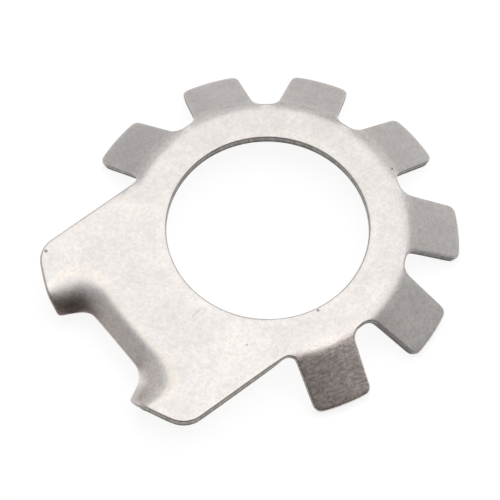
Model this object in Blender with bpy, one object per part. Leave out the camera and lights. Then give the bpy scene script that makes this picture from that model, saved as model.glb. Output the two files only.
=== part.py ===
"""Tab lock washer: one stamped and formed piece of sheet steel.

The flat blank is drawn as one closed outline of lines and arcs, meshed,
formed (seven tabs bent down about a round bend line, one lip pressed down
along a U-shaped line) and given its thickness with rounded cut edges.

Sizes are in millimetres here and become metres in the mesh.
X runs from the wide wing to the middle tab, Z is up, the part stands on its tabs.
"""

import math

import bpy
import bmesh
from mathutils import Matrix, Vector
from mathutils.geometry import delaunay_2d_cdt

OBJECT_NAME = "tab_lock_washer"
NODE_NAME = "lock_washer"
MM = 0.001

# Sheet
THICKNESS = 1.1
EDGE_ROUNDING = 0.2
EDGE_STEPS = 3

# Ring
BORE_RADIUS = 10.1
GAP_FLOOR_RADIUS = 14.05

# Tabs: flat sizes before bending
TAB_COUNT = 7
TAB_SPACING = math.radians(35.0)
TAB_WIDTH = 6.2
TAB_TIP_RADIUS = 20.0
TAB_CORNER_RADIUS = 0.82
TAB_ROOT_FILLET = 1.0

# Tabs: the round bend
TAB_BEND_ANGLE = math.radians(31.7)
TAB_BEND_RADIUS = 2.6
TAB_BEND_START = 12.96
GAP_BEND_SHARE = 0.4
WING_RUNOUT = 1.6

# Wing
WING_RADIUS = 22.87
WING_WIDTH = 24.3
WING_CORNER_RADIUS = 2.7
WING_NOTCH_FILLET = 0.7
WING_END_CUT = 1.09

# Lip: plan of its free edge and its form
LIP_RECESS = 2.53
LIP_STRAIGHT_HALF = 3.3
LIP_CORNER_RADIUS = 1.9
LIP_FLARE = math.radians(27.0)
LIP_TIP_ROUNDING = 0.5
LIP_ANGLE_MIDDLE = math.radians(32.0)
LIP_ANGLE_LEG = math.radians(57.0)
LIP_DROP_MIDDLE = 1.25
LIP_DROP_LEG = 2.3
LIP_REACH_MIDDLE = 2.75
LIP_REACH_LEG = 4.2
LIP_REACH_END = 2.9
LIP_WIDENING_START = 2.6
LIP_NARROWING_LENGTH = 2.5
LIP_TURN_RADIUS = 3.0

# Mesh fineness
RING_STEPS_PER_TAB = 10
RING_STEPS_BEHIND = 21
BEND_STEPS = 4
LIP_BEND_STEPS = 5
LIP_COLUMNS = (4, 8, 3)
FLAT_GRID = 1.7
FLAT_CLEARANCE = 0.8
CLOSEST_POINTS = 0.3

# Derived sizes
SIDE_TABS = (TAB_COUNT - 1) // 2
LAST_TAB_ANGLE = SIDE_TABS * TAB_SPACING
HALF_TAB = TAB_WIDTH / 2.0
HALF_WING = WING_WIDTH / 2.0
BEND_LENGTH = TAB_BEND_RADIUS * TAB_BEND_ANGLE
BEND_END = TAB_BEND_START + BEND_LENGTH
WING_END_X = -(WING_RADIUS - WING_END_CUT)
LIP_EDGE_X = WING_END_X + LIP_RECESS
LIP_CORE_X = LIP_EDGE_X - LIP_CORNER_RADIUS
LIP_LEG = (-math.cos(LIP_FLARE), math.sin(LIP_FLARE))
LIP_LEG_NORMAL = (math.sin(LIP_FLARE), math.cos(LIP_FLARE))
LIP_TURN = math.pi / 2.0 - LIP_FLARE
LIP_TURN_END = LIP_STRAIGHT_HALF + LIP_TURN_RADIUS * LIP_TURN
WING_CORNER_Y = HALF_WING - WING_CORNER_RADIUS
WING_CORNER_X = -math.sqrt((WING_RADIUS - WING_CORNER_RADIUS) ** 2 - WING_CORNER_Y ** 2)
WING_CORNER_LEAN = math.atan2(WING_CORNER_Y, WING_CORNER_X)
WING_END_Y = math.sqrt(WING_RADIUS ** 2 - WING_END_X ** 2)


def smooth(value):
    """Ease from 0 to 1 with flat ends."""
    value = min(1.0, max(0.0, value))
    return value * value * (3.0 - 2.0 * value)


def polar(radius, angle):
    return (radius * math.cos(angle), radius * math.sin(angle))


def arc(center, radius, start, end, steps):
    """Points on an arc, both ends included."""
    points = []
    for i in range(steps + 1):
        angle = start + (end - start) * i / steps
        x, y = polar(radius, angle)
        points.append((center[0] + x, center[1] + y))
    return points


def turned(point, angle):
    c = math.cos(angle)
    s = math.sin(angle)
    return (c * point[0] - s * point[1], s * point[0] + c * point[1])


def corner(before, point, after, radius, steps):
    """Round the corner at point between two straight lines."""
    p = Vector(point)
    u = (Vector(before) - p).normalized()
    v = (Vector(after) - p).normalized()
    half = math.acos(max(-1.0, min(1.0, u.dot(v)))) / 2.0
    center = p + (u + v).normalized() * (radius / math.sin(half))
    start = p + u * (radius / math.tan(half)) - center
    end = p + v * (radius / math.tan(half)) - center
    a0 = math.atan2(start.y, start.x)
    a1 = math.atan2(end.y, end.x)
    if a1 - a0 > math.pi:
        a1 -= 2.0 * math.pi
    if a0 - a1 > math.pi:
        a1 += 2.0 * math.pi
    return arc(center, radius, a0, a1, steps)


# One tab in its own frame: X along the tab, Y across it
def tab_side():
    """From the gap floor's middle round the root fillet and out to the tip's middle."""
    fillet_radius = GAP_FLOOR_RADIUS + TAB_ROOT_FILLET
    fillet_y = HALF_TAB + TAB_ROOT_FILLET
    fillet_x = math.sqrt(fillet_radius ** 2 - fillet_y ** 2)
    start = math.atan2(-fillet_y, -fillet_x) + 2.0 * math.pi
    end = 1.5 * math.pi
    points = [polar(GAP_FLOOR_RADIUS, TAB_SPACING / 2.0)]
    points += arc((fillet_x, fillet_y), TAB_ROOT_FILLET, start, end, 5)
    inner = TAB_TIP_RADIUS - TAB_CORNER_RADIUS
    corner_y = HALF_TAB - TAB_CORNER_RADIUS
    corner_x = math.sqrt(inner ** 2 - corner_y ** 2)
    for i in range(1, 4):
        points.append((fillet_x + (corner_x - fillet_x) * i / 4.0, HALF_TAB))
    lean = math.atan2(corner_y, corner_x)
    points += arc((corner_x, corner_y), TAB_CORNER_RADIUS, math.pi / 2.0, lean, 4)
    for i in range(1, 4):
        points.append(polar(TAB_TIP_RADIUS, lean * (1.0 - i / 3.0)))
    return points


def lip_section(along):
    """Plan width, angle and bend radius of the lip's top face at a place along it."""
    widening = smooth((along - LIP_WIDENING_START) / (LIP_TURN_END - LIP_WIDENING_START))
    narrowing = smooth((along - LIP_TURN_END) / LIP_NARROWING_LENGTH)
    width = LIP_REACH_MIDDLE + (LIP_REACH_LEG - LIP_REACH_MIDDLE) * widening
    width -= (LIP_REACH_LEG - LIP_REACH_END) * narrowing
    angle = LIP_ANGLE_MIDDLE + (LIP_ANGLE_LEG - LIP_ANGLE_MIDDLE) * widening
    drop = LIP_DROP_MIDDLE + (LIP_DROP_LEG - LIP_DROP_MIDDLE) * widening
    radius = (width * math.sin(angle) - drop * math.cos(angle)) / (1.0 - math.cos(angle))
    return width, angle, radius


def lip_place(along, distance):
    """Plan point at a distance from the lip's core line."""
    if along <= LIP_STRAIGHT_HALF:
        return (LIP_CORE_X + distance, along)
    turn = (along - LIP_STRAIGHT_HALF) / LIP_TURN_RADIUS
    if turn <= LIP_TURN:
        x, y = polar(distance, turn)
        return (LIP_CORE_X + x, LIP_STRAIGHT_HALF + y)
    run = along - LIP_TURN_END
    x = LIP_CORE_X + LIP_LEG_NORMAL[0] * distance + LIP_LEG[0] * run
    y = LIP_STRAIGHT_HALF + LIP_LEG_NORMAL[1] * distance + LIP_LEG[1] * run
    return (x, y)


def lip_position(x, y):
    """The inverse of lip_place: how far along, and the distance from the core line."""
    y = abs(y)
    dx = x - LIP_CORE_X
    dy = y - LIP_STRAIGHT_HALF
    if dy <= 0.0:
        return y, dx
    run = dx * LIP_LEG[0] + dy * LIP_LEG[1]
    if run > 0.0:
        distance = dx * LIP_LEG_NORMAL[0] + dy * LIP_LEG_NORMAL[1]
        return LIP_TURN_END + run, distance
    if dx <= 0.0 and dy <= 0.0:
        return y, dx
    return LIP_STRAIGHT_HALF + LIP_TURN_RADIUS * math.atan2(dy, dx), math.hypot(dx, dy)


def lip_depth(x, y):
    """How far the top face lies below the flat at a plan point."""
    along, distance = lip_position(x, y)
    width, angle, radius = lip_section(along)
    run = LIP_CORNER_RADIUS + width - distance
    if run <= 0.0:
        return 0.0
    if run < radius * math.sin(angle):
        return radius - math.sqrt(radius * radius - run * run)
    straight = run - radius * math.sin(angle)
    return radius * (1.0 - math.cos(angle)) + straight * math.tan(angle)


def bend_share(x, y):
    """Share of the tab bend at a point: full on tabs, part in gaps, none in the wing."""
    y = abs(y)
    radius = math.hypot(x, y)
    angle = math.atan2(y, x)
    if angle > LAST_TAB_ANGLE:
        across = radius * math.sin(min(angle - LAST_TAB_ANGLE, math.pi / 2.0))
        return 1.0 - smooth((across - HALF_TAB) / WING_RUNOUT)
    nearest = round(angle / TAB_SPACING) * TAB_SPACING
    across = radius * abs(math.sin(angle - nearest))
    half_gap = GAP_FLOOR_RADIUS * math.sin(TAB_SPACING / 2.0) - HALF_TAB
    return 1.0 - (1.0 - GAP_BEND_SHARE) * smooth((across - HALF_TAB) / half_gap)


def formed(x, y):
    """Point of the formed top face for a point of the flat drawing."""
    radius = math.hypot(x, y)
    run = radius - TAB_BEND_START
    share = bend_share(x, y)
    if run <= 0.0 or share <= 0.0:
        return Vector((x, y, -lip_depth(x, y)))
    top_radius = TAB_BEND_RADIUS + THICKNESS / 2.0
    angle = min(run / TAB_BEND_RADIUS, TAB_BEND_ANGLE)
    straight = max(run - BEND_LENGTH, 0.0)
    reach = TAB_BEND_START + top_radius * math.sin(angle) + straight * math.cos(angle)
    fall = top_radius * (1.0 - math.cos(angle)) + straight * math.sin(angle)
    reach = radius + (reach - radius) * share
    return Vector((x * reach / radius, y * reach / radius, -fall * share))


def top_normal(x, y):
    """Unit normal of the formed top face, from small steps either way."""
    step = 0.001
    along_x = formed(x + step, y) - formed(x - step, y)
    along_y = formed(x, y + step) - formed(x, y - step)
    return along_x.cross(along_y).normalized()


# The flat drawing of the half with Y above zero
def in_wing(x, y):
    """Whether a point lies within the wing's end, round edge, rounded corner and side."""
    dx = x - WING_CORNER_X
    dy = y - WING_CORNER_Y
    if dy > 0.0 and math.pi / 2.0 < math.atan2(dy, dx) < WING_CORNER_LEAN:
        return math.hypot(dx, dy) < WING_CORNER_RADIUS
    return x > WING_END_X and y < HALF_WING and math.hypot(x, y) < WING_RADIUS


def lip_row(distance_of):
    """Points of one row along the lip, from its middle to its end edge."""
    straight, turn, leg = LIP_COLUMNS
    low = LIP_TURN_END
    high = LIP_TURN_END + WING_RADIUS
    for _ in range(50):
        middle = (low + high) / 2.0
        x, y = lip_place(middle, distance_of(middle))
        if in_wing(x, y):
            low = middle
        else:
            high = middle
    stations = [LIP_STRAIGHT_HALF * i / straight for i in range(straight)]
    stations += [LIP_STRAIGHT_HALF + (LIP_TURN_END - LIP_STRAIGHT_HALF) * i / turn for i in range(turn)]
    stations += [LIP_TURN_END + (low - LIP_TURN_END) * i / leg for i in range(leg + 1)]
    return [lip_place(s, distance_of(s)) for s in stations]


def lip_rows():
    """Rows from the bend start down to the end of the bend and the lip's straight part."""
    rows = []
    for i in range(LIP_BEND_STEPS + 1):
        def distance_of(along, share=i / LIP_BEND_STEPS):
            width, angle, radius = lip_section(along)
            return LIP_CORNER_RADIUS + width - radius * math.sin(angle * share)

        rows.append(lip_row(distance_of))
    return rows


def with_row_ends(points, ends):
    """Put the rows' end points into a line where they fall, and thin out what they crowd."""
    for end in ends:
        detours = [math.dist(a, end) + math.dist(end, b) - math.dist(a, b) for a, b in zip(points, points[1:])]
        points.insert(detours.index(min(detours)) + 1, end)
    return [p for p in points if p in ends or all(math.dist(p, end) > CLOSEST_POINTS for end in ends)]


def half_outline(rows):
    """The outline from the lip's middle round to the middle tab's tip."""
    edge = lip_row(lambda along: LIP_CORNER_RADIUS)
    tip = edge[-1]
    points = edge[:-1]
    above = (WING_END_X, tip[1] + 1.0)
    points += corner(points[-1], tip, above, LIP_TIP_ROUNDING, 4)
    ends = [row[-1] for row in rows if math.dist(row[-1], points[-1]) > CLOSEST_POINTS]
    end_angle = math.atan2(WING_END_Y, WING_END_X)
    wing = [points[-1]] + arc((0.0, 0.0), WING_RADIUS, end_angle, WING_CORNER_LEAN, 4)[:-1]
    wing += arc((WING_CORNER_X, WING_CORNER_Y), WING_CORNER_RADIUS, WING_CORNER_LEAN, math.pi / 2.0, 7)
    points = points[:-1] + with_row_ends(wing, ends)
    side = tab_side()
    root = next(i for i, p in enumerate(side) if abs(p[1] - HALF_TAB) < 1e-9)
    line_start = turned(side[root], LAST_TAB_ANGLE)
    line_end = turned(side[root + 1], LAST_TAB_ANGLE)
    share = (HALF_WING - line_start[1]) / (line_end[1] - line_start[1])
    notch = (line_start[0] + (line_end[0] - line_start[0]) * share, HALF_WING)
    rounded = corner((WING_CORNER_X, HALF_WING), notch, line_end, WING_NOTCH_FILLET, 4)
    for i in range(1, 7):
        x = WING_CORNER_X + (rounded[0][0] - WING_CORNER_X) * i / 7.0
        points.append((x, HALF_WING))
    points += rounded
    first = [turned(p, LAST_TAB_ANGLE) for p in side]
    points.append(polar(BEND_END + 0.45, math.atan2(line_end[1], line_end[0])
                        + math.asin(HALF_TAB / (BEND_END + 0.45))
                        - math.asin(HALF_TAB / math.hypot(*line_end))))
    points += first[root + 1:]
    for tab in range(SIDE_TABS, -1, -1):
        angle = tab * TAB_SPACING
        if tab < SIDE_TABS:
            points += [turned(p, angle) for p in side[1:]]
        if tab > 0:
            lower = [turned((p[0], -p[1]), angle) for p in reversed(side)]
            points += lower[1:]
    return points


def inner_lines(rows):
    """Lines of points inside the half outline, along the bends and round the ring."""
    steps = SIDE_TABS * RING_STEPS_PER_TAB
    angles = [TAB_SPACING * i / RING_STEPS_PER_TAB for i in range(steps + 1)]
    step = (math.pi - LAST_TAB_ANGLE) / RING_STEPS_BEHIND
    behind = [LAST_TAB_ANGLE + step * (i + 1) for i in range(RING_STEPS_BEHIND)]
    lines = []
    for radius in (BORE_RADIUS + 0.7, BORE_RADIUS + 1.7):
        lines.append([polar(radius, a) for a in angles + behind])
    bends = [TAB_BEND_START + BEND_LENGTH * i / BEND_STEPS for i in range(BEND_STEPS + 1)]
    for radius in bends:
        if radius < GAP_FLOOR_RADIUS - 0.25:
            lines.append([polar(radius, a) for a in angles + behind[:6]])
    columns = [BEND_END * math.sin(TAB_SPACING * i / RING_STEPS_PER_TAB) for i in range(-3, 4)]
    stations = [radius for radius in bends if radius >= GAP_FLOOR_RADIUS - 0.25]
    reach = TAB_TIP_RADIUS - BEND_END
    stations += [BEND_END + reach * share for share in (0.2, 0.4, 0.6, 0.8)]
    for tab in range(SIDE_TABS + 1):
        for radius in stations:
            line = [(math.sqrt(radius * radius - y * y), y) for y in columns]
            line = [turned(p, tab * TAB_SPACING) for p in line]
            lines.append([p for p in line if p[1] > -1e-9])
    lines += rows
    lines.append(lip_row(lambda along: LIP_CORNER_RADIUS + lip_section(along)[0] + 0.55)[:-1])
    return lines


def flat_points(taken):
    """Evenly spread points where the wing is flat and still empty."""
    points = []
    columns = int(WING_RADIUS / FLAT_GRID)
    for i in range(columns):
        for j in range(columns):
            x = -WING_RADIUS + FLAT_GRID * i
            y = FLAT_GRID * j
            inside = in_wing(x - FLAT_CLEARANCE, y) and in_wing(x, y + FLAT_CLEARANCE)
            clear = all(math.dist((x, y), p) > FLAT_CLEARANCE for p in taken)
            if inside and clear and lip_depth(x, y) == 0.0:
                points.append((x, y))
    return points


def bore_line():
    """The bore's half circle, from the middle tab's side round to the wing's."""
    steps = SIDE_TABS * RING_STEPS_PER_TAB
    line = arc((0.0, 0.0), BORE_RADIUS, 0.0, LAST_TAB_ANGLE, steps)
    return line + arc((0.0, 0.0), BORE_RADIUS, LAST_TAB_ANGLE, math.pi, RING_STEPS_BEHIND)[1:]


def half_sheet():
    """Mesh the half outline: its points, and triangles between them."""
    rows = lip_rows()
    loop = half_outline(rows) + bore_line()
    points = list(loop)
    edges = [(i, (i + 1) % len(loop)) for i in range(len(loop))]
    for line in inner_lines(rows):
        start = len(points)
        points += line
        edges += [(start + i, start + i + 1) for i in range(len(line) - 1)]
    points += flat_points(points)
    flat = [Vector((x, 0.0 if abs(y) < 1e-6 else y)) for x, y in points]
    result = delaunay_2d_cdt(flat, edges, [list(range(len(loop)))], 1, 1e-4)
    return result[0], result[2]


def build_sheet():
    """The flat sheet as a mesh: both halves, joined along the middle."""
    flat = bmesh.new()
    points, faces = half_sheet()
    made = [flat.verts.new((p.x, max(p.y, 0.0), 0.0)) for p in points]
    for face in faces:
        flat.faces.new([made[i] for i in face])
    bmesh.ops.mirror(flat, geom=flat.verts[:] + flat.edges[:] + flat.faces[:],
                     matrix=Matrix.Identity(4), merge_dist=1e-5, axis="Y")
    bmesh.ops.recalc_face_normals(flat, faces=flat.faces[:])
    if sum(face.normal.z for face in flat.faces) < 0.0:
        bmesh.ops.reverse_faces(flat, faces=flat.faces[:])
    return flat


def rim_frames(sheet):
    """For each rim vertex: formed point, normal, and the way out of the sheet."""
    frames = {}
    for vertex in sheet.verts:
        around = [e for e in vertex.link_edges if e.is_boundary]
        if not around:
            continue
        outward = Vector((0.0, 0.0, 0.0))
        normal = top_normal(vertex.co.x, vertex.co.y)
        for edge in around:
            loop = edge.link_loops[0]
            start = formed(loop.vert.co.x, loop.vert.co.y)
            end = formed(loop.link_loop_next.vert.co.x, loop.link_loop_next.vert.co.y)
            outward += (end - start).normalized().cross(normal).normalized()
        scale = 2.0 / outward.length
        frames[vertex] = (formed(vertex.co.x, vertex.co.y), normal,
                          outward.normalized() * min(scale, 1.2))
    return frames


def form_solid(sheet):
    """Form the sheet, give it thickness and round its cut edges."""
    frames = rim_frames(sheet)
    tops = {}
    for vertex in sheet.verts:
        x, y = vertex.co.x, vertex.co.y
        tops[vertex] = (formed(x, y), top_normal(x, y))
    top_faces = sheet.faces[:]
    copy = bmesh.ops.duplicate(sheet, geom=sheet.verts[:] + sheet.edges[:] + top_faces)
    twin = {a: b for a, b in copy["vert_map"].items() if a in tops}
    bottom_faces = [f for f in copy["geom"] if isinstance(f, bmesh.types.BMFace)]
    bmesh.ops.reverse_faces(sheet, faces=bottom_faces)
    stations = []
    for i in range(EDGE_STEPS + 1):
        angle = math.pi / 2.0 * i / EDGE_STEPS
        stations.append((EDGE_ROUNDING * (1.0 - math.sin(angle)), EDGE_ROUNDING * (1.0 - math.cos(angle))))
    stations += [(inset, THICKNESS - depth) for inset, depth in reversed(stations)]

    def rim_point(frame, station):
        point, normal, outward = frame
        return point - outward * station[0] - normal * station[1]

    rim = [e for e in sheet.edges if e.is_boundary and e.verts[0] in frames]
    chain = {vertex: vertex for vertex in frames}
    for station in stations[1:]:
        grown = bmesh.ops.extrude_edge_only(sheet, edges=rim)
        rim = [g for g in grown["geom"] if isinstance(g, bmesh.types.BMEdge)]
        new = [g for g in grown["geom"] if isinstance(g, bmesh.types.BMVert)]
        lookup = {}
        for vertex in chain:
            for edge in chain[vertex].link_edges:
                other = edge.other_vert(chain[vertex])
                if other in new:
                    lookup[vertex] = other
        chain = lookup
        for vertex, moved in chain.items():
            moved.co = rim_point(frames[vertex], station)
    for vertex, (point, normal) in tops.items():
        if vertex in frames:
            vertex.co = rim_point(frames[vertex], stations[0])
            twin[vertex].co = rim_point(frames[vertex], stations[-1])
        else:
            vertex.co = point
            twin[vertex].co = point - normal * THICKNESS
    bmesh.ops.weld_verts(sheet, targetmap={chain[v]: twin[v] for v in frames})
    return sheet


def stand_up(solid):
    """Set the origin under the middle of the part's box, with the tab tips on the floor."""
    xs = [v.co.x for v in solid.verts]
    zs = [v.co.z for v in solid.verts]
    shift = Vector((-(min(xs) + max(xs)) / 2.0, 0.0, -min(zs)))
    bmesh.ops.translate(solid, verts=solid.verts[:], vec=shift)
    bmesh.ops.scale(solid, verts=solid.verts[:], vec=(MM, MM, MM))
    print("shift of the bore axis in mm", round(shift.x, 4), "height of the flat in mm", round(shift.z, 4))


def steel():
    material = bpy.data.materials.new("satin_steel")
    material.use_nodes = True
    shader = material.node_tree.nodes["Principled BSDF"]
    shader.inputs["Base Color"].default_value = (0.62, 0.6, 0.57, 1.0)
    shader.inputs["Metallic"].default_value = 1.0
    shader.inputs["Roughness"].default_value = 0.38
    material.diffuse_color = (0.62, 0.6, 0.57, 1.0)
    return material


for leftover in list(bpy.data.objects):
    bpy.data.objects.remove(leftover, do_unlink=True)

collection = bpy.data.collections.new(OBJECT_NAME)
bpy.context.scene.collection.children.link(collection)

solid = form_solid(build_sheet())
stand_up(solid)
bmesh.ops.recalc_face_normals(solid, faces=solid.faces[:])
mesh = bpy.data.meshes.new(NODE_NAME)
solid.to_mesh(mesh)
solid.free()
washer = bpy.data.objects.new(NODE_NAME, mesh)
collection.objects.link(washer)
mesh.materials.append(steel())
for polygon in mesh.polygons:
    polygon.use_smooth = True
print("triangles", sum(len(p.vertices) - 2 for p in mesh.polygons))
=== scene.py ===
# %% [markdown]
# # Tab lock washer: the looks
#
# The real part is one piece of steel sheet about 1.1 mm thick. It is punched out flat,
# its seven tabs and its lip are pressed down, and it is then tumbled, which leaves a
# pale satin skin. The sheared edges stay darker and rougher.
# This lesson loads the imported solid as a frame, sets the camera and the light, gives
# the part a finer surface, marks where the press and the shear worked on it, and builds
# one steel that reads those marks.

# %% Load the frame
import math

import bpy
import numpy as np
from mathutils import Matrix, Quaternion, Vector
from mathutils.bvhtree import BVHTree


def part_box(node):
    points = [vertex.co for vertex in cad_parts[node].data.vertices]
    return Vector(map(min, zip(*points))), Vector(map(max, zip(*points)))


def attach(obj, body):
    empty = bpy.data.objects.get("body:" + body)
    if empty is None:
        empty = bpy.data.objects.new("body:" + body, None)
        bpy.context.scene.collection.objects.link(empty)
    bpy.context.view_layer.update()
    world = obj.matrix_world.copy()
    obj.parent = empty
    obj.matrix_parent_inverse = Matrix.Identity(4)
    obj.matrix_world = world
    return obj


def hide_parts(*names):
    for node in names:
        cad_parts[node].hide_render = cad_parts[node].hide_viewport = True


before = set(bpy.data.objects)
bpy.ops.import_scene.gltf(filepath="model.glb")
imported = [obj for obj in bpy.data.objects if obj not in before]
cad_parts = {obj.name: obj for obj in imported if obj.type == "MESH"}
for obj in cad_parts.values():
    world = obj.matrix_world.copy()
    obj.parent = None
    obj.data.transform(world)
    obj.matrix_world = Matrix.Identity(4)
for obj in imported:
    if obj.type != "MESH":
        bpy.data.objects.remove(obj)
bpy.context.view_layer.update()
MM = 0.001
NODE = "lock_washer"
low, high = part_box(NODE)
FLAT_TOP = high.z / MM
print("frame", NODE, [round(v / MM, 2) for v in high - low], "mm; flat top at", round(FLAT_TOP, 3), "mm")

# %% [markdown]
# ## Camera
#
# The photograph was taken from far away with a long lens, high over the wing's lower
# corner. Such a view can be set by hand with the camera gizmo, but a place, an aim
# point and a small roll are easier to keep. There is no lens shift, so that other
# views of the part stay centred.

# %% Camera
CAMERA_PLACE = (-82.767, -102.284, 265.097)
CAMERA_AIM = (-1.791, -0.981, 4.274)
CAMERA_ROLL = math.radians(0.55)
LENS = 211.62
SENSOR_WIDTH = 36.0
CLIP_START = 0.01
CLIP_END = 10.0

camera_data = bpy.data.cameras.new("photo_camera")
camera_data.lens = LENS
camera_data.sensor_width = SENSOR_WIDTH
camera_data.clip_start = CLIP_START
camera_data.clip_end = CLIP_END
camera = bpy.data.objects.new("photo_camera", camera_data)
bpy.context.scene.collection.objects.link(camera)
camera.location = Vector(CAMERA_PLACE) * MM
sight = Vector(CAMERA_AIM) - Vector(CAMERA_PLACE)
camera.rotation_mode = "QUATERNION"
camera.rotation_quaternion = sight.to_track_quat("-Z", "Y") @ Quaternion((0.0, 0.0, 1.0), CAMERA_ROLL)
bpy.context.scene.camera = camera
bpy.context.scene.view_settings.view_transform = "Standard"
print("camera", round(sight.length), "mm away with a", LENS, "mm lens")

# %% [markdown]
# ## Light
#
# Bare metal shows what stands around it, so the light is planned by what each surface
# has to mirror. The flat mirrors a broad soft box overhead and turns almost white. The
# pressed tabs look out sideways, so they take their grey from the room: bright on the
# far side, dim behind the camera. Separate cards would show their edges in the bends.
# One soft box and a world that fades from side to side give the same greys with no
# edges at all. A small second lamp makes the soft box a little brighter in its middle,
# as the real cloth is in front of its bulb. Two weak ones, low on the right and higher
# on the far side, lift the tabs and the bends that look that way.

# %% Soft boxes
def aim_lamp(name, azimuth, elevation, distance, size, radiance, tint):
    """A round soft lamp that faces the washer, set by how bright it looks from there."""
    data = bpy.data.lights.new(name, "AREA")
    data.shape = "DISK"
    data.size = size
    data.energy = radiance * math.pi * math.pi * size * size / 4.0
    data.color = tint
    lamp = bpy.data.objects.new(name, data)
    bpy.context.scene.collection.objects.link(lamp)
    turn = math.radians(azimuth)
    rise = math.radians(elevation)
    way = Vector((math.cos(rise) * math.cos(turn), math.cos(rise) * math.sin(turn), math.sin(rise)))
    lamp.location = way * distance
    lamp.rotation_euler = (-way).to_track_quat("-Z", "Y").to_euler()
    print("lamp", name, "radiance", radiance, "power", round(data.energy, 2), "W")


aim_lamp("soft_box", azimuth=19.0, elevation=76.0, distance=0.60, size=0.94,
         radiance=0.935, tint=(1.0, 0.985, 0.965))
aim_lamp("soft_box_core", azimuth=-20.0, elevation=82.0, distance=0.60, size=0.40,
         radiance=0.14, tint=(1.0, 0.97, 0.93))
aim_lamp("side_fill", azimuth=6.0, elevation=16.0, distance=0.80, size=0.60,
         radiance=0.19, tint=(1.0, 1.0, 1.0))
aim_lamp("far_fill", azimuth=62.0, elevation=38.0, distance=0.80, size=0.56,
         radiance=0.30, tint=(1.0, 0.99, 0.98))

# %% World that fades from side to side
BRIGHT_SIDE = (0.559, 0.829, 0.0)
FADE_FROM = -0.80
FADE_TO = 0.01
DIM = (0.130, 0.118, 0.112, 1.0)
BRIGHT = (0.516, 0.520, 0.520, 1.0)

world = bpy.data.worlds.new("studio")
bpy.context.scene.world = world
world.use_nodes = True
nodes = world.node_tree.nodes
links = world.node_tree.links
outward = nodes.new("ShaderNodeTexCoord")
side = nodes.new("ShaderNodeVectorMath")
side.operation = "DOT_PRODUCT"
side.inputs[1].default_value = BRIGHT_SIDE
links.new(outward.outputs["Generated"], side.inputs[0])
fade = nodes.new("ShaderNodeMapRange")
fade.interpolation_type = "SMOOTHSTEP"
fade.inputs["From Min"].default_value = FADE_FROM
fade.inputs["From Max"].default_value = FADE_TO
links.new(side.outputs["Value"], fade.inputs["Value"])
room = nodes.new("ShaderNodeMix")
room.data_type = "RGBA"
room.inputs[6].default_value = DIM
room.inputs[7].default_value = BRIGHT
links.new(fade.outputs["Result"], room.inputs["Factor"])
links.new(room.outputs[2], nodes["Background"].inputs["Color"])
print("world fades from", DIM[:3], "behind the camera to", BRIGHT[:3], "on the far side")

# %% [markdown]
# ## Floor
#
# The part lies on plain white paper that runs out of the picture on all sides. Paper
# could be a white diffuse sheet alone, but then it needs more light than the steel can
# take. So most of its white is an even glow, which the camera and the mirror-like
# surfaces see alike, and the rest is a diffuse colour that keeps a faint soft shadow.

# %% Floor
FLOOR_SIZE = 3.0
FLOOR_PARTS = 4
FLOOR_COLOUR = (0.26, 0.26, 0.26, 1.0)
FLOOR_ROUGHNESS = 0.9
FLOOR_GLOW = 0.83
WHITE = (1.0, 1.0, 1.0, 1.0)

bpy.ops.object.select_all(action="DESELECT")
bpy.ops.mesh.primitive_grid_add(x_subdivisions=FLOOR_PARTS, y_subdivisions=FLOOR_PARTS, size=FLOOR_SIZE)
floor = bpy.context.active_object
floor.name = "floor"

paper = bpy.data.materials.new("white_paper")
paper.use_nodes = True
nodes = paper.node_tree.nodes
links = paper.node_tree.links
surface = nodes["Principled BSDF"]
surface.inputs["Base Color"].default_value = FLOOR_COLOUR
surface.inputs["Roughness"].default_value = FLOOR_ROUGHNESS
surface.inputs["Specular IOR Level"].default_value = 0.0
surface.inputs["Emission Color"].default_value = WHITE
rays = nodes.new("ShaderNodeLightPath")
seen = nodes.new("ShaderNodeMath")
seen.operation = "ADD"
seen_too = nodes.new("ShaderNodeMath")
seen_too.operation = "ADD"
seen_too.use_clamp = True
glow = nodes.new("ShaderNodeMath")
glow.operation = "MULTIPLY"
glow.inputs[1].default_value = FLOOR_GLOW
links.new(rays.outputs["Is Camera Ray"], seen.inputs[0])
links.new(rays.outputs["Is Glossy Ray"], seen.inputs[1])
links.new(seen.outputs[0], seen_too.inputs[0])
links.new(rays.outputs["Is Transmission Ray"], seen_too.inputs[1])
links.new(seen_too.outputs[0], glow.inputs[0])
links.new(glow.outputs[0], surface.inputs["Emission Strength"])
floor.data.materials.append(paper)
print("floor", FLOOR_SIZE, "m wide, glow", FLOOR_GLOW)

# %% [markdown]
# ## The sheet
#
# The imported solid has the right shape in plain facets. The washer could be modelled
# again from a disc with extruded tabs, but the bends have to lie exactly where the
# solid has them, so the shown sheet starts as a copy of it. The copy's loose triangles
# are merged and paired into quads that follow the bends.

# %% A merged copy in quads
MERGE_DISTANCE = 1e-6
QUAD_BEND = math.radians(25.0)
QUAD_SKEW = math.radians(70.0)

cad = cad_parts[NODE]
sheet = bpy.data.objects.new("pressed_sheet", cad.data.copy())
bpy.context.scene.collection.objects.link(sheet)
bpy.ops.object.select_all(action="DESELECT")
sheet.select_set(True)
bpy.context.view_layer.objects.active = sheet
bpy.ops.object.mode_set(mode="EDIT")
bpy.ops.mesh.select_all(action="SELECT")
bpy.ops.mesh.customdata_custom_splitnormals_clear()
bpy.ops.mesh.remove_doubles(threshold=MERGE_DISTANCE)
bpy.ops.mesh.normals_make_consistent(inside=False)
bpy.ops.mesh.tris_convert_to_quads(face_threshold=QUAD_BEND, shape_threshold=QUAD_SKEW)
bpy.ops.object.mode_set(mode="OBJECT")
quads = sum(1 for face in sheet.data.polygons if len(face.vertices) == 4)
print("sheet", len(sheet.data.vertices), "points,", quads, "quads of", len(sheet.data.polygons), "faces")

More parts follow.
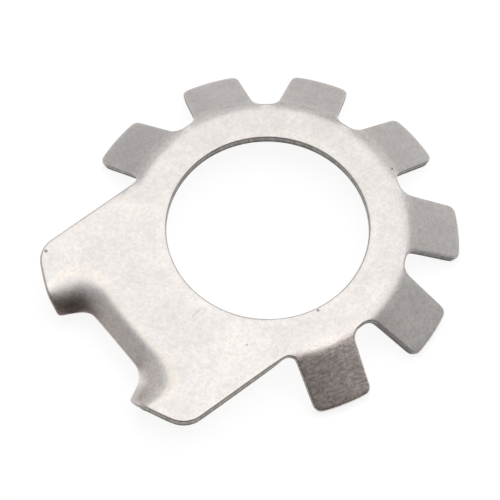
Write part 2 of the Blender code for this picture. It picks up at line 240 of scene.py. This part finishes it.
# %% [markdown]
# ## Marks that the steel reads
#
# A punched sheet has an upper skin, a lower skin and a sheared wall between them, and
# the steel has to know where it is. The wall could be painted by hand, or picked by its
# upright normals, but on the tilted tabs that fails. Depth below the upper skin works
# everywhere, and it also places the two bands of the wall. The upper skin is found by
# its normals: the steepest pressed face is still far from upright.

# %% Find the upper skin
UPPER_SKIN_NORMAL = 0.5

points = [v.co.copy() for v in sheet.data.vertices]
upper_skin = [tuple(face.vertices) for face in sheet.data.polygons if face.normal.z > UPPER_SKIN_NORMAL]
upper_tree = BVHTree.FromPolygons(points, upper_skin)
print("upper skin", len(upper_skin), "of", len(sheet.data.polygons), "faces")

# %% [markdown]
# The faces of the wall are those whose middle lies well inside the sheet's thickness.
# Three marks are then measured at every point and kept as attributes of the mesh: how
# deep it lies below the upper skin, how far the press took that skin below the flat,
# and how far it is from the wall, so that the rounded edges can look like the wall too.

# %% Measure depth, fall and distance to the wall
WALL_DEPTHS = (0.3, 0.8)

wall = []
for face in sheet.data.polygons:
    middle_depth = upper_tree.find_nearest(face.center)[3] / MM
    if WALL_DEPTHS[0] < middle_depth < WALL_DEPTHS[1]:
        wall.append(tuple(face.vertices))
wall_tree = BVHTree.FromPolygons(points, wall)
print("wall", len(wall), "faces")

depth = []
fall = []
edge = []
for point in points:
    nearest, _, _, distance = upper_tree.find_nearest(point)
    depth.append(distance / MM)
    fall.append(max(0.0, FLAT_TOP - nearest.z / MM))
    edge.append(wall_tree.find_nearest(point)[3] / MM)

for name, values in (("depth_mm", depth), ("fall_mm", fall), ("edge_mm", edge)):
    attribute = sheet.data.attributes.new(name, "FLOAT", "POINT")
    attribute.data.foreach_set("value", np.array(values, dtype=np.float32))
    print("mark", name, "from", round(min(values), 2), "to", round(max(values), 2))

# %% [markdown]
# One level of subdivision rounds the cut edges and the bends, and it leaves the flat
# flat. The marks are carried along and blended between the points. More levels would
# only add weight, as the steps in the outline are already finer than a pixel.

# %% Finer surface
SUBDIVISIONS = 1

finer = sheet.modifiers.new("finer", "SUBSURF")
finer.levels = SUBDIVISIONS
finer.render_levels = SUBDIVISIONS
bpy.ops.object.modifier_apply(modifier="finer")
bpy.ops.object.shade_smooth()
print("sheet", len(sheet.data.polygons), "faces after subdividing")

# %% [markdown]
# ## Satin steel
#
# Tumbling leaves no direction on the skin, only a fine mottle of flattened grains a few tenths of a
# millimetre wide, and slow warm and cool patches. Where the press took the skin down below the flat, the
# colour is a little darker and browner. An image texture could show this, but noise in Object
# coordinates needs no unwrapping and has the same size everywhere.
# The coordinates are scaled to millimetres first, so that each noise scale can be read
# as grains per millimetre.

# %% Node helpers
steel = bpy.data.materials.new("satin_steel")
steel.use_nodes = True
nodes = steel.node_tree.nodes
links = steel.node_tree.links
shader = nodes["Principled BSDF"]


def node(kind, **settings):
    """A new node with its settings, such as operation or blend_type."""
    made = nodes.new("ShaderNode" + kind)
    for name, value in settings.items():
        setattr(made, name, value)
    return made


def plug(source, target, socket):
    """Feed an input from a node, from one of its outputs, or with a number or colour."""
    if isinstance(source, (int, float, tuple)):
        target.inputs[socket].default_value = source
    else:
        links.new(getattr(source, "outputs", [source])[0], target.inputs[socket])


def math_node(operation, first, second):
    """Two values put together."""
    made = node("Math", operation=operation)
    plug(first, made, 0)
    plug(second, made, 1)
    return made


def product(first, *others):
    """Several values or masks multiplied together."""
    for other in others:
        first = math_node("MULTIPLY", first, other)
    return first


def remap(value, span, result):
    """Ease a value from one range to another."""
    made = node("MapRange", interpolation_type="SMOOTHSTEP")
    plug(value, made, "Value")
    for socket, number in zip(("From Min", "From Max", "To Min", "To Max"), (*span, *result)):
        plug(number, made, socket)
    return made


def rising(value, span):
    """A mask that eases from none to full over a range."""
    return remap(value, span, (0.0, 1.0))


def falling(value, span):
    """A mask that eases from full to none over a range."""
    return remap(value, span, (1.0, 0.0))


def mark(name):
    """Read one of the sheet's marks."""
    return node("Attribute", attribute_name=name).outputs["Fac"]


print("node helpers ready")

# %% Places in millimetres
def moved(source, **settings):
    """Coordinates with a new location, rotation or scale."""
    made = node("Mapping")
    plug(source, made, "Vector")
    for name, value in settings.items():
        plug(value, made, name.capitalize())
    return made


def split(source):
    """The three coordinates of a place, as one output each."""
    made = node("SeparateXYZ")
    plug(source, made, "Vector")
    return made.outputs


def noise(per_mm, detail, rough=0.5, source=None):
    """Noise with so many grains per millimetre."""
    made = node("TexNoise")
    plug(per_mm, made, "Scale")
    plug(detail, made, "Detail")
    plug(rough, made, "Roughness")
    plug(source or millimetres, made, "Vector")
    return made


millimetres = moved(node("TexCoord").outputs["Object"], scale=(1.0 / MM, 1.0 / MM, 1.0 / MM))
x_mm, y_mm, z_mm = split(millimetres)
print("one unit of noise is 1 mm")

# %% Colour helpers
def tinted(colour, factor):
    """A colour multiplied by a grey factor from a node."""
    made = node("VectorMath", operation="SCALE")
    plug(colour, made, 0)
    plug(factor, made, "Scale")
    return made


def toned(colour, tone, where):
    """A colour multiplied by a tone, only where a mask says so."""
    made = node("Mix", data_type="RGBA", blend_type="MULTIPLY")
    plug(where, made, "Factor")
    plug(colour, made, 6)
    plug((*tone, 1.0) if isinstance(tone, tuple) else tone, made, 7)
    return made.outputs[2]


MIX_SOCKETS = {"FLOAT": (2, 3, 0), "VECTOR": (4, 5, 1)}


def mixed(kind, first, second, where):
    """One value, and another one where a mask says so."""
    first_socket, second_socket, output = MIX_SOCKETS[kind]
    made = node("Mix", data_type=kind)
    plug(where, made, "Factor")
    plug(first, made, first_socket)
    plug(second, made, second_socket)
    return made.outputs[output]


print("colour helpers ready")

# %% [markdown]
# The skin's colour is a pale, slightly warm steel. The grain makes it lighter and
# darker by a few parts in a hundred, and so do a coarser mottle and the slow patches.
# A film that is thicker in some places than in others gives each patch its own faint
# tint, which is one noise with its three channels used apart.

# %% Skin colour
STEEL = (0.625, 0.598, 0.586)
GRAIN_PER_MM = 3.4
MOTTLE_PER_MM = 1.2
PATCHES_PER_MM = 0.32
FILM_PER_MM = 0.9
GRAIN_TONES = (0.905, 1.095)
MOTTLE_TONES = (0.975, 1.025)
PATCH_TONES = (0.965, 1.035)
TINT = 0.05
WIDE_NOISE = (0.28, 0.72)
PLAIN_NOISE = (0.3, 0.7)

grain = noise(GRAIN_PER_MM, detail=3.0, rough=0.55)
grain_tone = remap(grain, WIDE_NOISE, GRAIN_TONES)
mottle_tone = remap(noise(MOTTLE_PER_MM, detail=2.0), PLAIN_NOISE, MOTTLE_TONES)
patch_tone = remap(noise(PATCHES_PER_MM, detail=2.0), PLAIN_NOISE, PATCH_TONES)
plain_skin = tinted(STEEL, product(grain_tone, mottle_tone, patch_tone))
film = node("VectorMath", operation="MULTIPLY_ADD")
plug(noise(FILM_PER_MM, detail=2.0).outputs["Color"], film, 0)
plug((TINT, TINT, TINT), film, 1)
plug((1.0 - TINT / 2.0, 1.0 - TINT / 2.0, 1.0 - TINT / 2.0), film, 2)
skin = node("VectorMath", operation="MULTIPLY")
plug(plain_skin, skin, 0)
plug(film, skin, 1)
print("skin with", GRAIN_PER_MM, "grains and", PATCHES_PER_MM, "patches per mm")

# %% [markdown]
# Where the lip's bend begins, a pale, creamy line is painted in: a painted highlight for the brighter
# middle of the soft box that the start of the bend mirrors. The tabs' bends begin with painted shade
# instead, and the flat on the far half is painted a little darker as well: painted shade. Further down,
# the far tabs' bends get a painted highlight. These places are found by how far the press took the skin
# down, and the ranges below are in millimetres.

# %% Painted highlights and shade at the bends
LIP_CREST_HIGHLIGHT_TONE = (1.085, 1.06, 1.015)
FLAT_SHADE_TONE = (0.932, 0.928, 0.925)
TAB_CREST_SHADE_TONE = (0.97, 0.965, 0.96)
BEND_HIGHLIGHT_TONE = (1.17, 1.165, 1.16)
CREST_FALL = ((0.006, 0.03), (0.05, 0.16))
BEND_FALL = ((0.05, 0.24), (0.36, 0.75))
FLAT_FALL = (0.0, 0.15)
LIP_X = (-8.0, -11.0)
OFF_WING_X = (-6.0, 1.0)
FAR_HALF_Y = (-14.0, 4.0)
FAR_TABS_Y = (-9.0, -3.0)
SPECKLE_NOISE = (0.3, 0.6)
SPECKLE = (0.35, 1.0)

fall_mm = mark("fall_mm")
crest = product(rising(fall_mm, CREST_FALL[0]), falling(fall_mm, CREST_FALL[1]))
bend = product(rising(fall_mm, BEND_FALL[0]), falling(fall_mm, BEND_FALL[1]))
on_flat = falling(fall_mm, FLAT_FALL)
on_lip = rising(x_mm, LIP_X)
off_lip = math_node("SUBTRACT", 1.0, on_lip)
off_wing = rising(x_mm, OFF_WING_X)
far_half = rising(y_mm, FAR_HALF_Y)
far_tabs = rising(y_mm, FAR_TABS_Y)
speckle = remap(noise(3.0, detail=2.0, rough=0.6), SPECKLE_NOISE, SPECKLE)
# painted highlight: a pale creamy line where the lip's bend begins
skin_colour = toned(skin, LIP_CREST_HIGHLIGHT_TONE, product(crest, speckle, on_lip))
# painted shade: the flat on the far half is darker
skin_colour = toned(skin_colour, FLAT_SHADE_TONE, product(off_wing, far_half, on_flat))
# painted shade: the tabs' bends begin darker
skin_colour = toned(skin_colour, TAB_CREST_SHADE_TONE, product(crest, off_lip))
# painted highlight: the far tabs' bends are lighter further down
skin_colour = toned(skin_colour, BEND_HIGHLIGHT_TONE, product(bend, off_lip, far_tabs))
print("crest down to", CREST_FALL[1][1], "mm below the flat, bend down to", BEND_FALL[1][1], "mm")

# %% [markdown]
# Where the press took the skin down, the colour is a little darker and browner. Most of the lip is
# painted paler and warmer than the tabs, most of all in its lower corner: painted light that lifts the
# greys its slopes mirror. That leg's tip is painted darker: painted shade where it turns steeply away.
# In the upper corner, where the lip was drawn hardest, a dark brown patch is painted: partly the steel's
# own brown and partly painted shade on the steep slope. Along all edges a slightly paler line is painted
# just inside the rounding.

# %% Pressed steel, painted light and shade on the lip, pale edge line
PRESSED_TONE = (0.95, 0.935, 0.93)
LIP_PAINTED_LIGHT_TONE = (1.15, 1.105, 1.09)
LOWER_END_LIGHT_TONE = (1.19, 1.21, 1.21)
LOWER_TIP_SHADE_TONE = (0.66, 0.66, 0.66)
STAIN_AND_SHADE_TONE = (0.40, 0.345, 0.33)
PALE_EDGE_TONE = (1.035, 1.035, 1.025)
PRESSED_FALL = (0.05, 0.50)
PALE_LIP_Y = (4.4, 2.4)
LOWER_END_Y = (-1.0, -5.0)
LOWER_TIP_X = (-18.2, -19.8)
LOWER_TIP_FALL = (0.3, 1.0)
STAIN_AND_SHADE_FALL = (0.35, 1.6)
STAIN_AND_SHADE_X = (-13.0, -15.0)
STAIN_AND_SHADE_Y = (1.6, 3.9)
PALE_EDGE_SPAN = ((0.20, 0.30), (0.40, 0.65))

pressed = rising(fall_mm, PRESSED_FALL)
pressed_lip = product(pressed, on_lip)
lower_end = rising(y_mm, LOWER_END_Y)
lower_tip = product(lower_end, rising(x_mm, LOWER_TIP_X), rising(fall_mm, LOWER_TIP_FALL))
stain_and_shade = product(rising(x_mm, STAIN_AND_SHADE_X), rising(fall_mm, STAIN_AND_SHADE_FALL), rising(y_mm, STAIN_AND_SHADE_Y))
edge_mm = mark("edge_mm")
pale_edge = product(rising(edge_mm, PALE_EDGE_SPAN[0]), falling(edge_mm, PALE_EDGE_SPAN[1]))
# darker and browner where the press took the skin down
skin_colour = toned(skin_colour, PRESSED_TONE, pressed)
# painted light: most of the lip paler and warmer
skin_colour = toned(skin_colour, LIP_PAINTED_LIGHT_TONE, product(pressed_lip, rising(y_mm, PALE_LIP_Y)))
# painted light: the lip's lower corner paler still
skin_colour = toned(skin_colour, LOWER_END_LIGHT_TONE, product(pressed_lip, lower_end))
# painted shade: the lower leg's steep tip darker
skin_colour = toned(skin_colour, LOWER_TIP_SHADE_TONE, lower_tip)
# dark brown in the upper corner: partly the steel's own brown, partly painted shade
skin_colour = toned(skin_colour, STAIN_AND_SHADE_TONE, stain_and_shade)
# a slightly paler line just inside all edges
skin_colour = toned(skin_colour, PALE_EDGE_TONE, pale_edge)
print("worn line from", PALE_EDGE_SPAN[0][0], "to", PALE_EDGE_SPAN[1][1], "mm from the wall")

# %% [markdown]
# The near tab was rubbed along its width: fine streaks run side by side with its bend,
# and it is browner than the others. The streaks are noise in coordinates that are
# turned about the bore's axis, so that the tab's own length becomes the first one.

# %% Rubbed near tab
BORE_X = 1.21
NEAR_TAB = math.radians(-105.0)
TAB_STARTS = (13.4, 14.4)
TAB_HALF_WIDTH = (4.2, 3.6)
RUBBED_TONE = (1.12, 1.065, 1.05)
STREAKS_PER_MM = (5.5, 1.3, 2.0)
STREAK_TURN = math.radians(6.0)
STREAK_TONES = (0.75, 1.27)
DASH_NOISE = (0.58, 0.70)
DASH_TONES = (1.0, 1.45)
TAB_ACROSS = (-3.0, 3.2)
ACROSS_TONES = (0.92, 1.08)

axis_shift = (-BORE_X * math.cos(NEAR_TAB), BORE_X * math.sin(NEAR_TAB), 0.0)
along_tab = moved(millimetres, location=axis_shift, rotation=(0.0, 0.0, -NEAR_TAB))
out_mm, across_mm, _ = split(along_tab)
beside_mm = math_node("ABSOLUTE", across_mm, 0.0)
on_tab = product(rising(out_mm, TAB_STARTS), rising(beside_mm, TAB_HALF_WIDTH))
streak_lines = moved(along_tab, rotation=(0.0, 0.0, STREAK_TURN), scale=STREAKS_PER_MM)
streak_tone = remap(noise(1.0, detail=3.0, rough=0.6, source=streak_lines), WIDE_NOISE, STREAK_TONES)
flat_dashes = moved(millimetres, scale=(1.0, 1.7, 1.0))
dash_tone = remap(noise(2.0, detail=3.0, rough=0.7, source=flat_dashes), DASH_NOISE, DASH_TONES)
across_tone = remap(across_mm, TAB_ACROSS, ACROSS_TONES)
rubbed = tinted(RUBBED_TONE, product(streak_tone, dash_tone, across_tone))
skin_colour = toned(skin_colour, rubbed, on_tab)
print("near tab at", round(math.degrees(NEAR_TAB)), "degrees rubbed from", TAB_STARTS[0], "mm outwards")

# %% [markdown]
# A sheared wall has two bands. The punch first burnishes the upper third, and the rest
# then tears off and stays rough and dull. Both carry fine upright lines, which are
# noise drawn out along Z. The border between the bands wanders a little.

# %% Sheared wall
BURNISHED = (0.160, 0.152, 0.146)
TORN = (0.120, 0.112, 0.105)
WALL_EDGE = (0.06, 0.18)
WANDER_MM = 0.3
TORN_DEPTH = (0.54, 0.66)
LINE_TONES = (0.62, 1.38)
LINE_STRETCH = (1.0, 1.0, 0.12)

cut = falling(edge_mm, WALL_EDGE)
wander = product(noise(0.9, detail=2.0), WANDER_MM)
torn = rising(math_node("ADD", mark("depth_mm"), wander), TORN_DEPTH)
burnished = math_node("SUBTRACT", 1.0, torn)
lines = noise(2.4, detail=4.0, rough=0.7, source=moved(millimetres, scale=LINE_STRETCH))
line_tone = remap(lines, PLAIN_NOISE, LINE_TONES)
wall_colour = tinted(mixed("VECTOR", BURNISHED, TORN, torn), line_tone)
print("torn band below", TORN_DEPTH[0], "mm, less up to", WANDER_MM, "mm")

# %% [markdown]
# Round the wing the wall is painted paler and warmer, and so is the bore's to a smaller degree: painted
# light on these walls. On the two near tabs the wall is painted darker and browner, and its burnished
# band darker still: painted shade on these walls.

# %% Painted light and shade on the walls
WING_WALL_LIGHT_TONE = (1.65, 1.58, 1.50)
BORE_WALL_LIGHT_TONE = (1.34, 1.33, 1.31)
NEAR_WALL_SHADE_TONE = (0.78, 0.74, 0.71)
NEAR_BAND_SHADE_TONE = (0.56, 0.54, 0.52)
BORE_WALL_RADIUS = (10.7, 11.2)
WING_WALL_X = (-4.0, -8.0)
PAST_WING_Y = (-12.2, -12.6)
PAST_WING_X = (-6.0, -4.5)
NEAR_WALL_Y = (-9.0, -11.0)
NEAR_WALL_X = (12.0, 8.5)

past_wing = math_node("MAXIMUM", rising(y_mm, PAST_WING_Y), rising(x_mm, PAST_WING_X))
near_wall = product(past_wing, rising(y_mm, NEAR_WALL_Y), rising(x_mm, NEAR_WALL_X))
radius_mm = node("VectorMath", operation="LENGTH")
plug(moved(millimetres, location=(-BORE_X, 0.0, 0.0), scale=(1.0, 1.0, 0.0)), radius_mm, 0)
bore_wall = falling(radius_mm.outputs["Value"], BORE_WALL_RADIUS)
# painted light: the wall round the wing paler and warmer
wall_colour = toned(wall_colour, WING_WALL_LIGHT_TONE, rising(x_mm, WING_WALL_X))
# painted shade: the near tabs' walls darker and browner, their burnished band darker still
wall_colour = toned(wall_colour, NEAR_WALL_SHADE_TONE, near_wall)
wall_colour = toned(wall_colour, NEAR_BAND_SHADE_TONE, product(near_wall, burnished))
# painted light: the bore's wall paler
wall_colour = toned(wall_colour, BORE_WALL_LIGHT_TONE, bore_wall)
print("pale wall beyond x", WING_WALL_X[1], "mm, brown wall beyond y", NEAR_WALL_Y[1], "mm")

# %% [markdown]
# Last come three dark specks on the flat, a small nick at the root of a tab and one
# faint scratch. Each speck is a place, given by x, y and height over the flat, with a
# radius, and the distance to it makes the dot.

# %% Specks
SPECKS = (
    (-17.78, 11.38, 0.0, 0.22),
    (-0.62, -10.28, 0.0, 0.17),
    (-8.41, -8.92, 0.0, 0.10),
    (15.20, -2.50, -0.30, 0.15),
)
SPECK_TONE = (0.42, 0.40, 0.39)
SPECK_CORE = 0.45
SPECK_RIM = 1.25

for x, y, above_flat, radius in SPECKS:
    gap = node("VectorMath", operation="DISTANCE")
    plug(millimetres, gap, 0)
    plug((x, y, FLAT_TOP + above_flat), gap, 1)
    dot = falling(gap.outputs["Value"], (SPECK_CORE * radius, SPECK_RIM * radius))
    skin_colour = toned(skin_colour, SPECK_TONE, dot)
print(len(SPECKS), "specks")

# %% [markdown]
# The scratch is a short line. Its own coordinates start at one end and run along it,
# so the first one fades it at both ends and the second one gives it its width.

# %% Scratch
SCRATCH_FROM = (-10.95, -3.25)
SCRATCH_TO = (-9.30, -3.05)
SCRATCH_TONE = (0.84, 0.83, 0.82)
SCRATCH_FADE = 0.3
SCRATCH_HALF_WIDTH = (0.05, 0.13)

run = Vector(SCRATCH_TO) - Vector(SCRATCH_FROM)
scratch_frame = node("Mapping", vector_type="TEXTURE")
plug(millimetres, scratch_frame, "Vector")
plug((*SCRATCH_FROM, FLAT_TOP), scratch_frame, "Location")
plug((0.0, 0.0, math.atan2(run.y, run.x)), scratch_frame, "Rotation")
along_mm, off_mm, _ = split(scratch_frame)
scratch_start = rising(along_mm, (0.0, SCRATCH_FADE))
scratch_end = falling(along_mm, (run.length - SCRATCH_FADE, run.length))
scratch_width = falling(math_node("ABSOLUTE", off_mm, 0.0), SCRATCH_HALF_WIDTH)
skin_colour = toned(skin_colour, SCRATCH_TONE, product(scratch_start, scratch_end, scratch_width))
plug(mixed("VECTOR", skin_colour, wall_colour, cut), shader, "Base Color")
plug(1.0, shader, "Metallic")
print("scratch", round(run.length, 2), "mm long")

# %% [markdown]
# Roughness follows the same marks: satin on the flat, a little duller where the press
# worked but glossier on the rubbed near tab, dull on the torn band. The skin's varies
# with the grain, so that the gloss breaks up.

# %% Roughness
SKIN_ROUGHNESS = (0.29, 0.38)
WALL_ROUGHNESS = (0.34, 0.55)
ROUGH_NOISE = (0.25, 0.75)
PRESSED_ROUGHER = 0.05
POLISH_Y = (-9.0, -13.0)
POLISH_X = (5.5, 2.5)
POLISH_FALL = (0.0, 0.04)
POLISH = (0.0, 0.26)

skin_rough = remap(grain, ROUGH_NOISE, SKIN_ROUGHNESS)
duller = math_node("ADD", skin_rough, product(pressed, PRESSED_ROUGHER))
near_side = product(rising(y_mm, POLISH_Y), rising(x_mm, POLISH_X))
polish = product(near_side, remap(fall_mm, POLISH_FALL, POLISH))
skin_gloss = product(duller, math_node("SUBTRACT", 1.0, polish))
wall_gloss = remap(torn, (0.0, 1.0), WALL_ROUGHNESS)
plug(mixed("FLOAT", skin_gloss, wall_gloss, cut), shader, "Roughness")
print("roughness", SKIN_ROUGHNESS, "on the skin,", WALL_ROUGHNESS, "on the wall")

# %% [markdown]
# The last layer is relief. The skin has a height of a few thousandths of a millimetre
# from the grain, and the wall has its upright lines and the step between its bands.

# %% Relief
GRAIN_HEIGHT = 0.004
LINE_HEIGHT = 0.012
BAND_STEP = 0.03

skin_height = product(grain, GRAIN_HEIGHT)
wall_height = math_node("ADD", product(lines, LINE_HEIGHT), product(torn, -BAND_STEP))
relief = node("Bump")
plug(1.0, relief, "Strength")
plug(MM, relief, "Distance")
plug(mixed("FLOAT", skin_height, wall_height, cut), relief, "Height")
plug(relief, shader, "Normal")

sheet.data.materials.clear()
sheet.data.materials.append(steel)
print("satin steel has", len(nodes), "nodes")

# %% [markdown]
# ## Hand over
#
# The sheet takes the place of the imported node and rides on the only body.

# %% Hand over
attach(sheet, "root")
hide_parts(NODE)
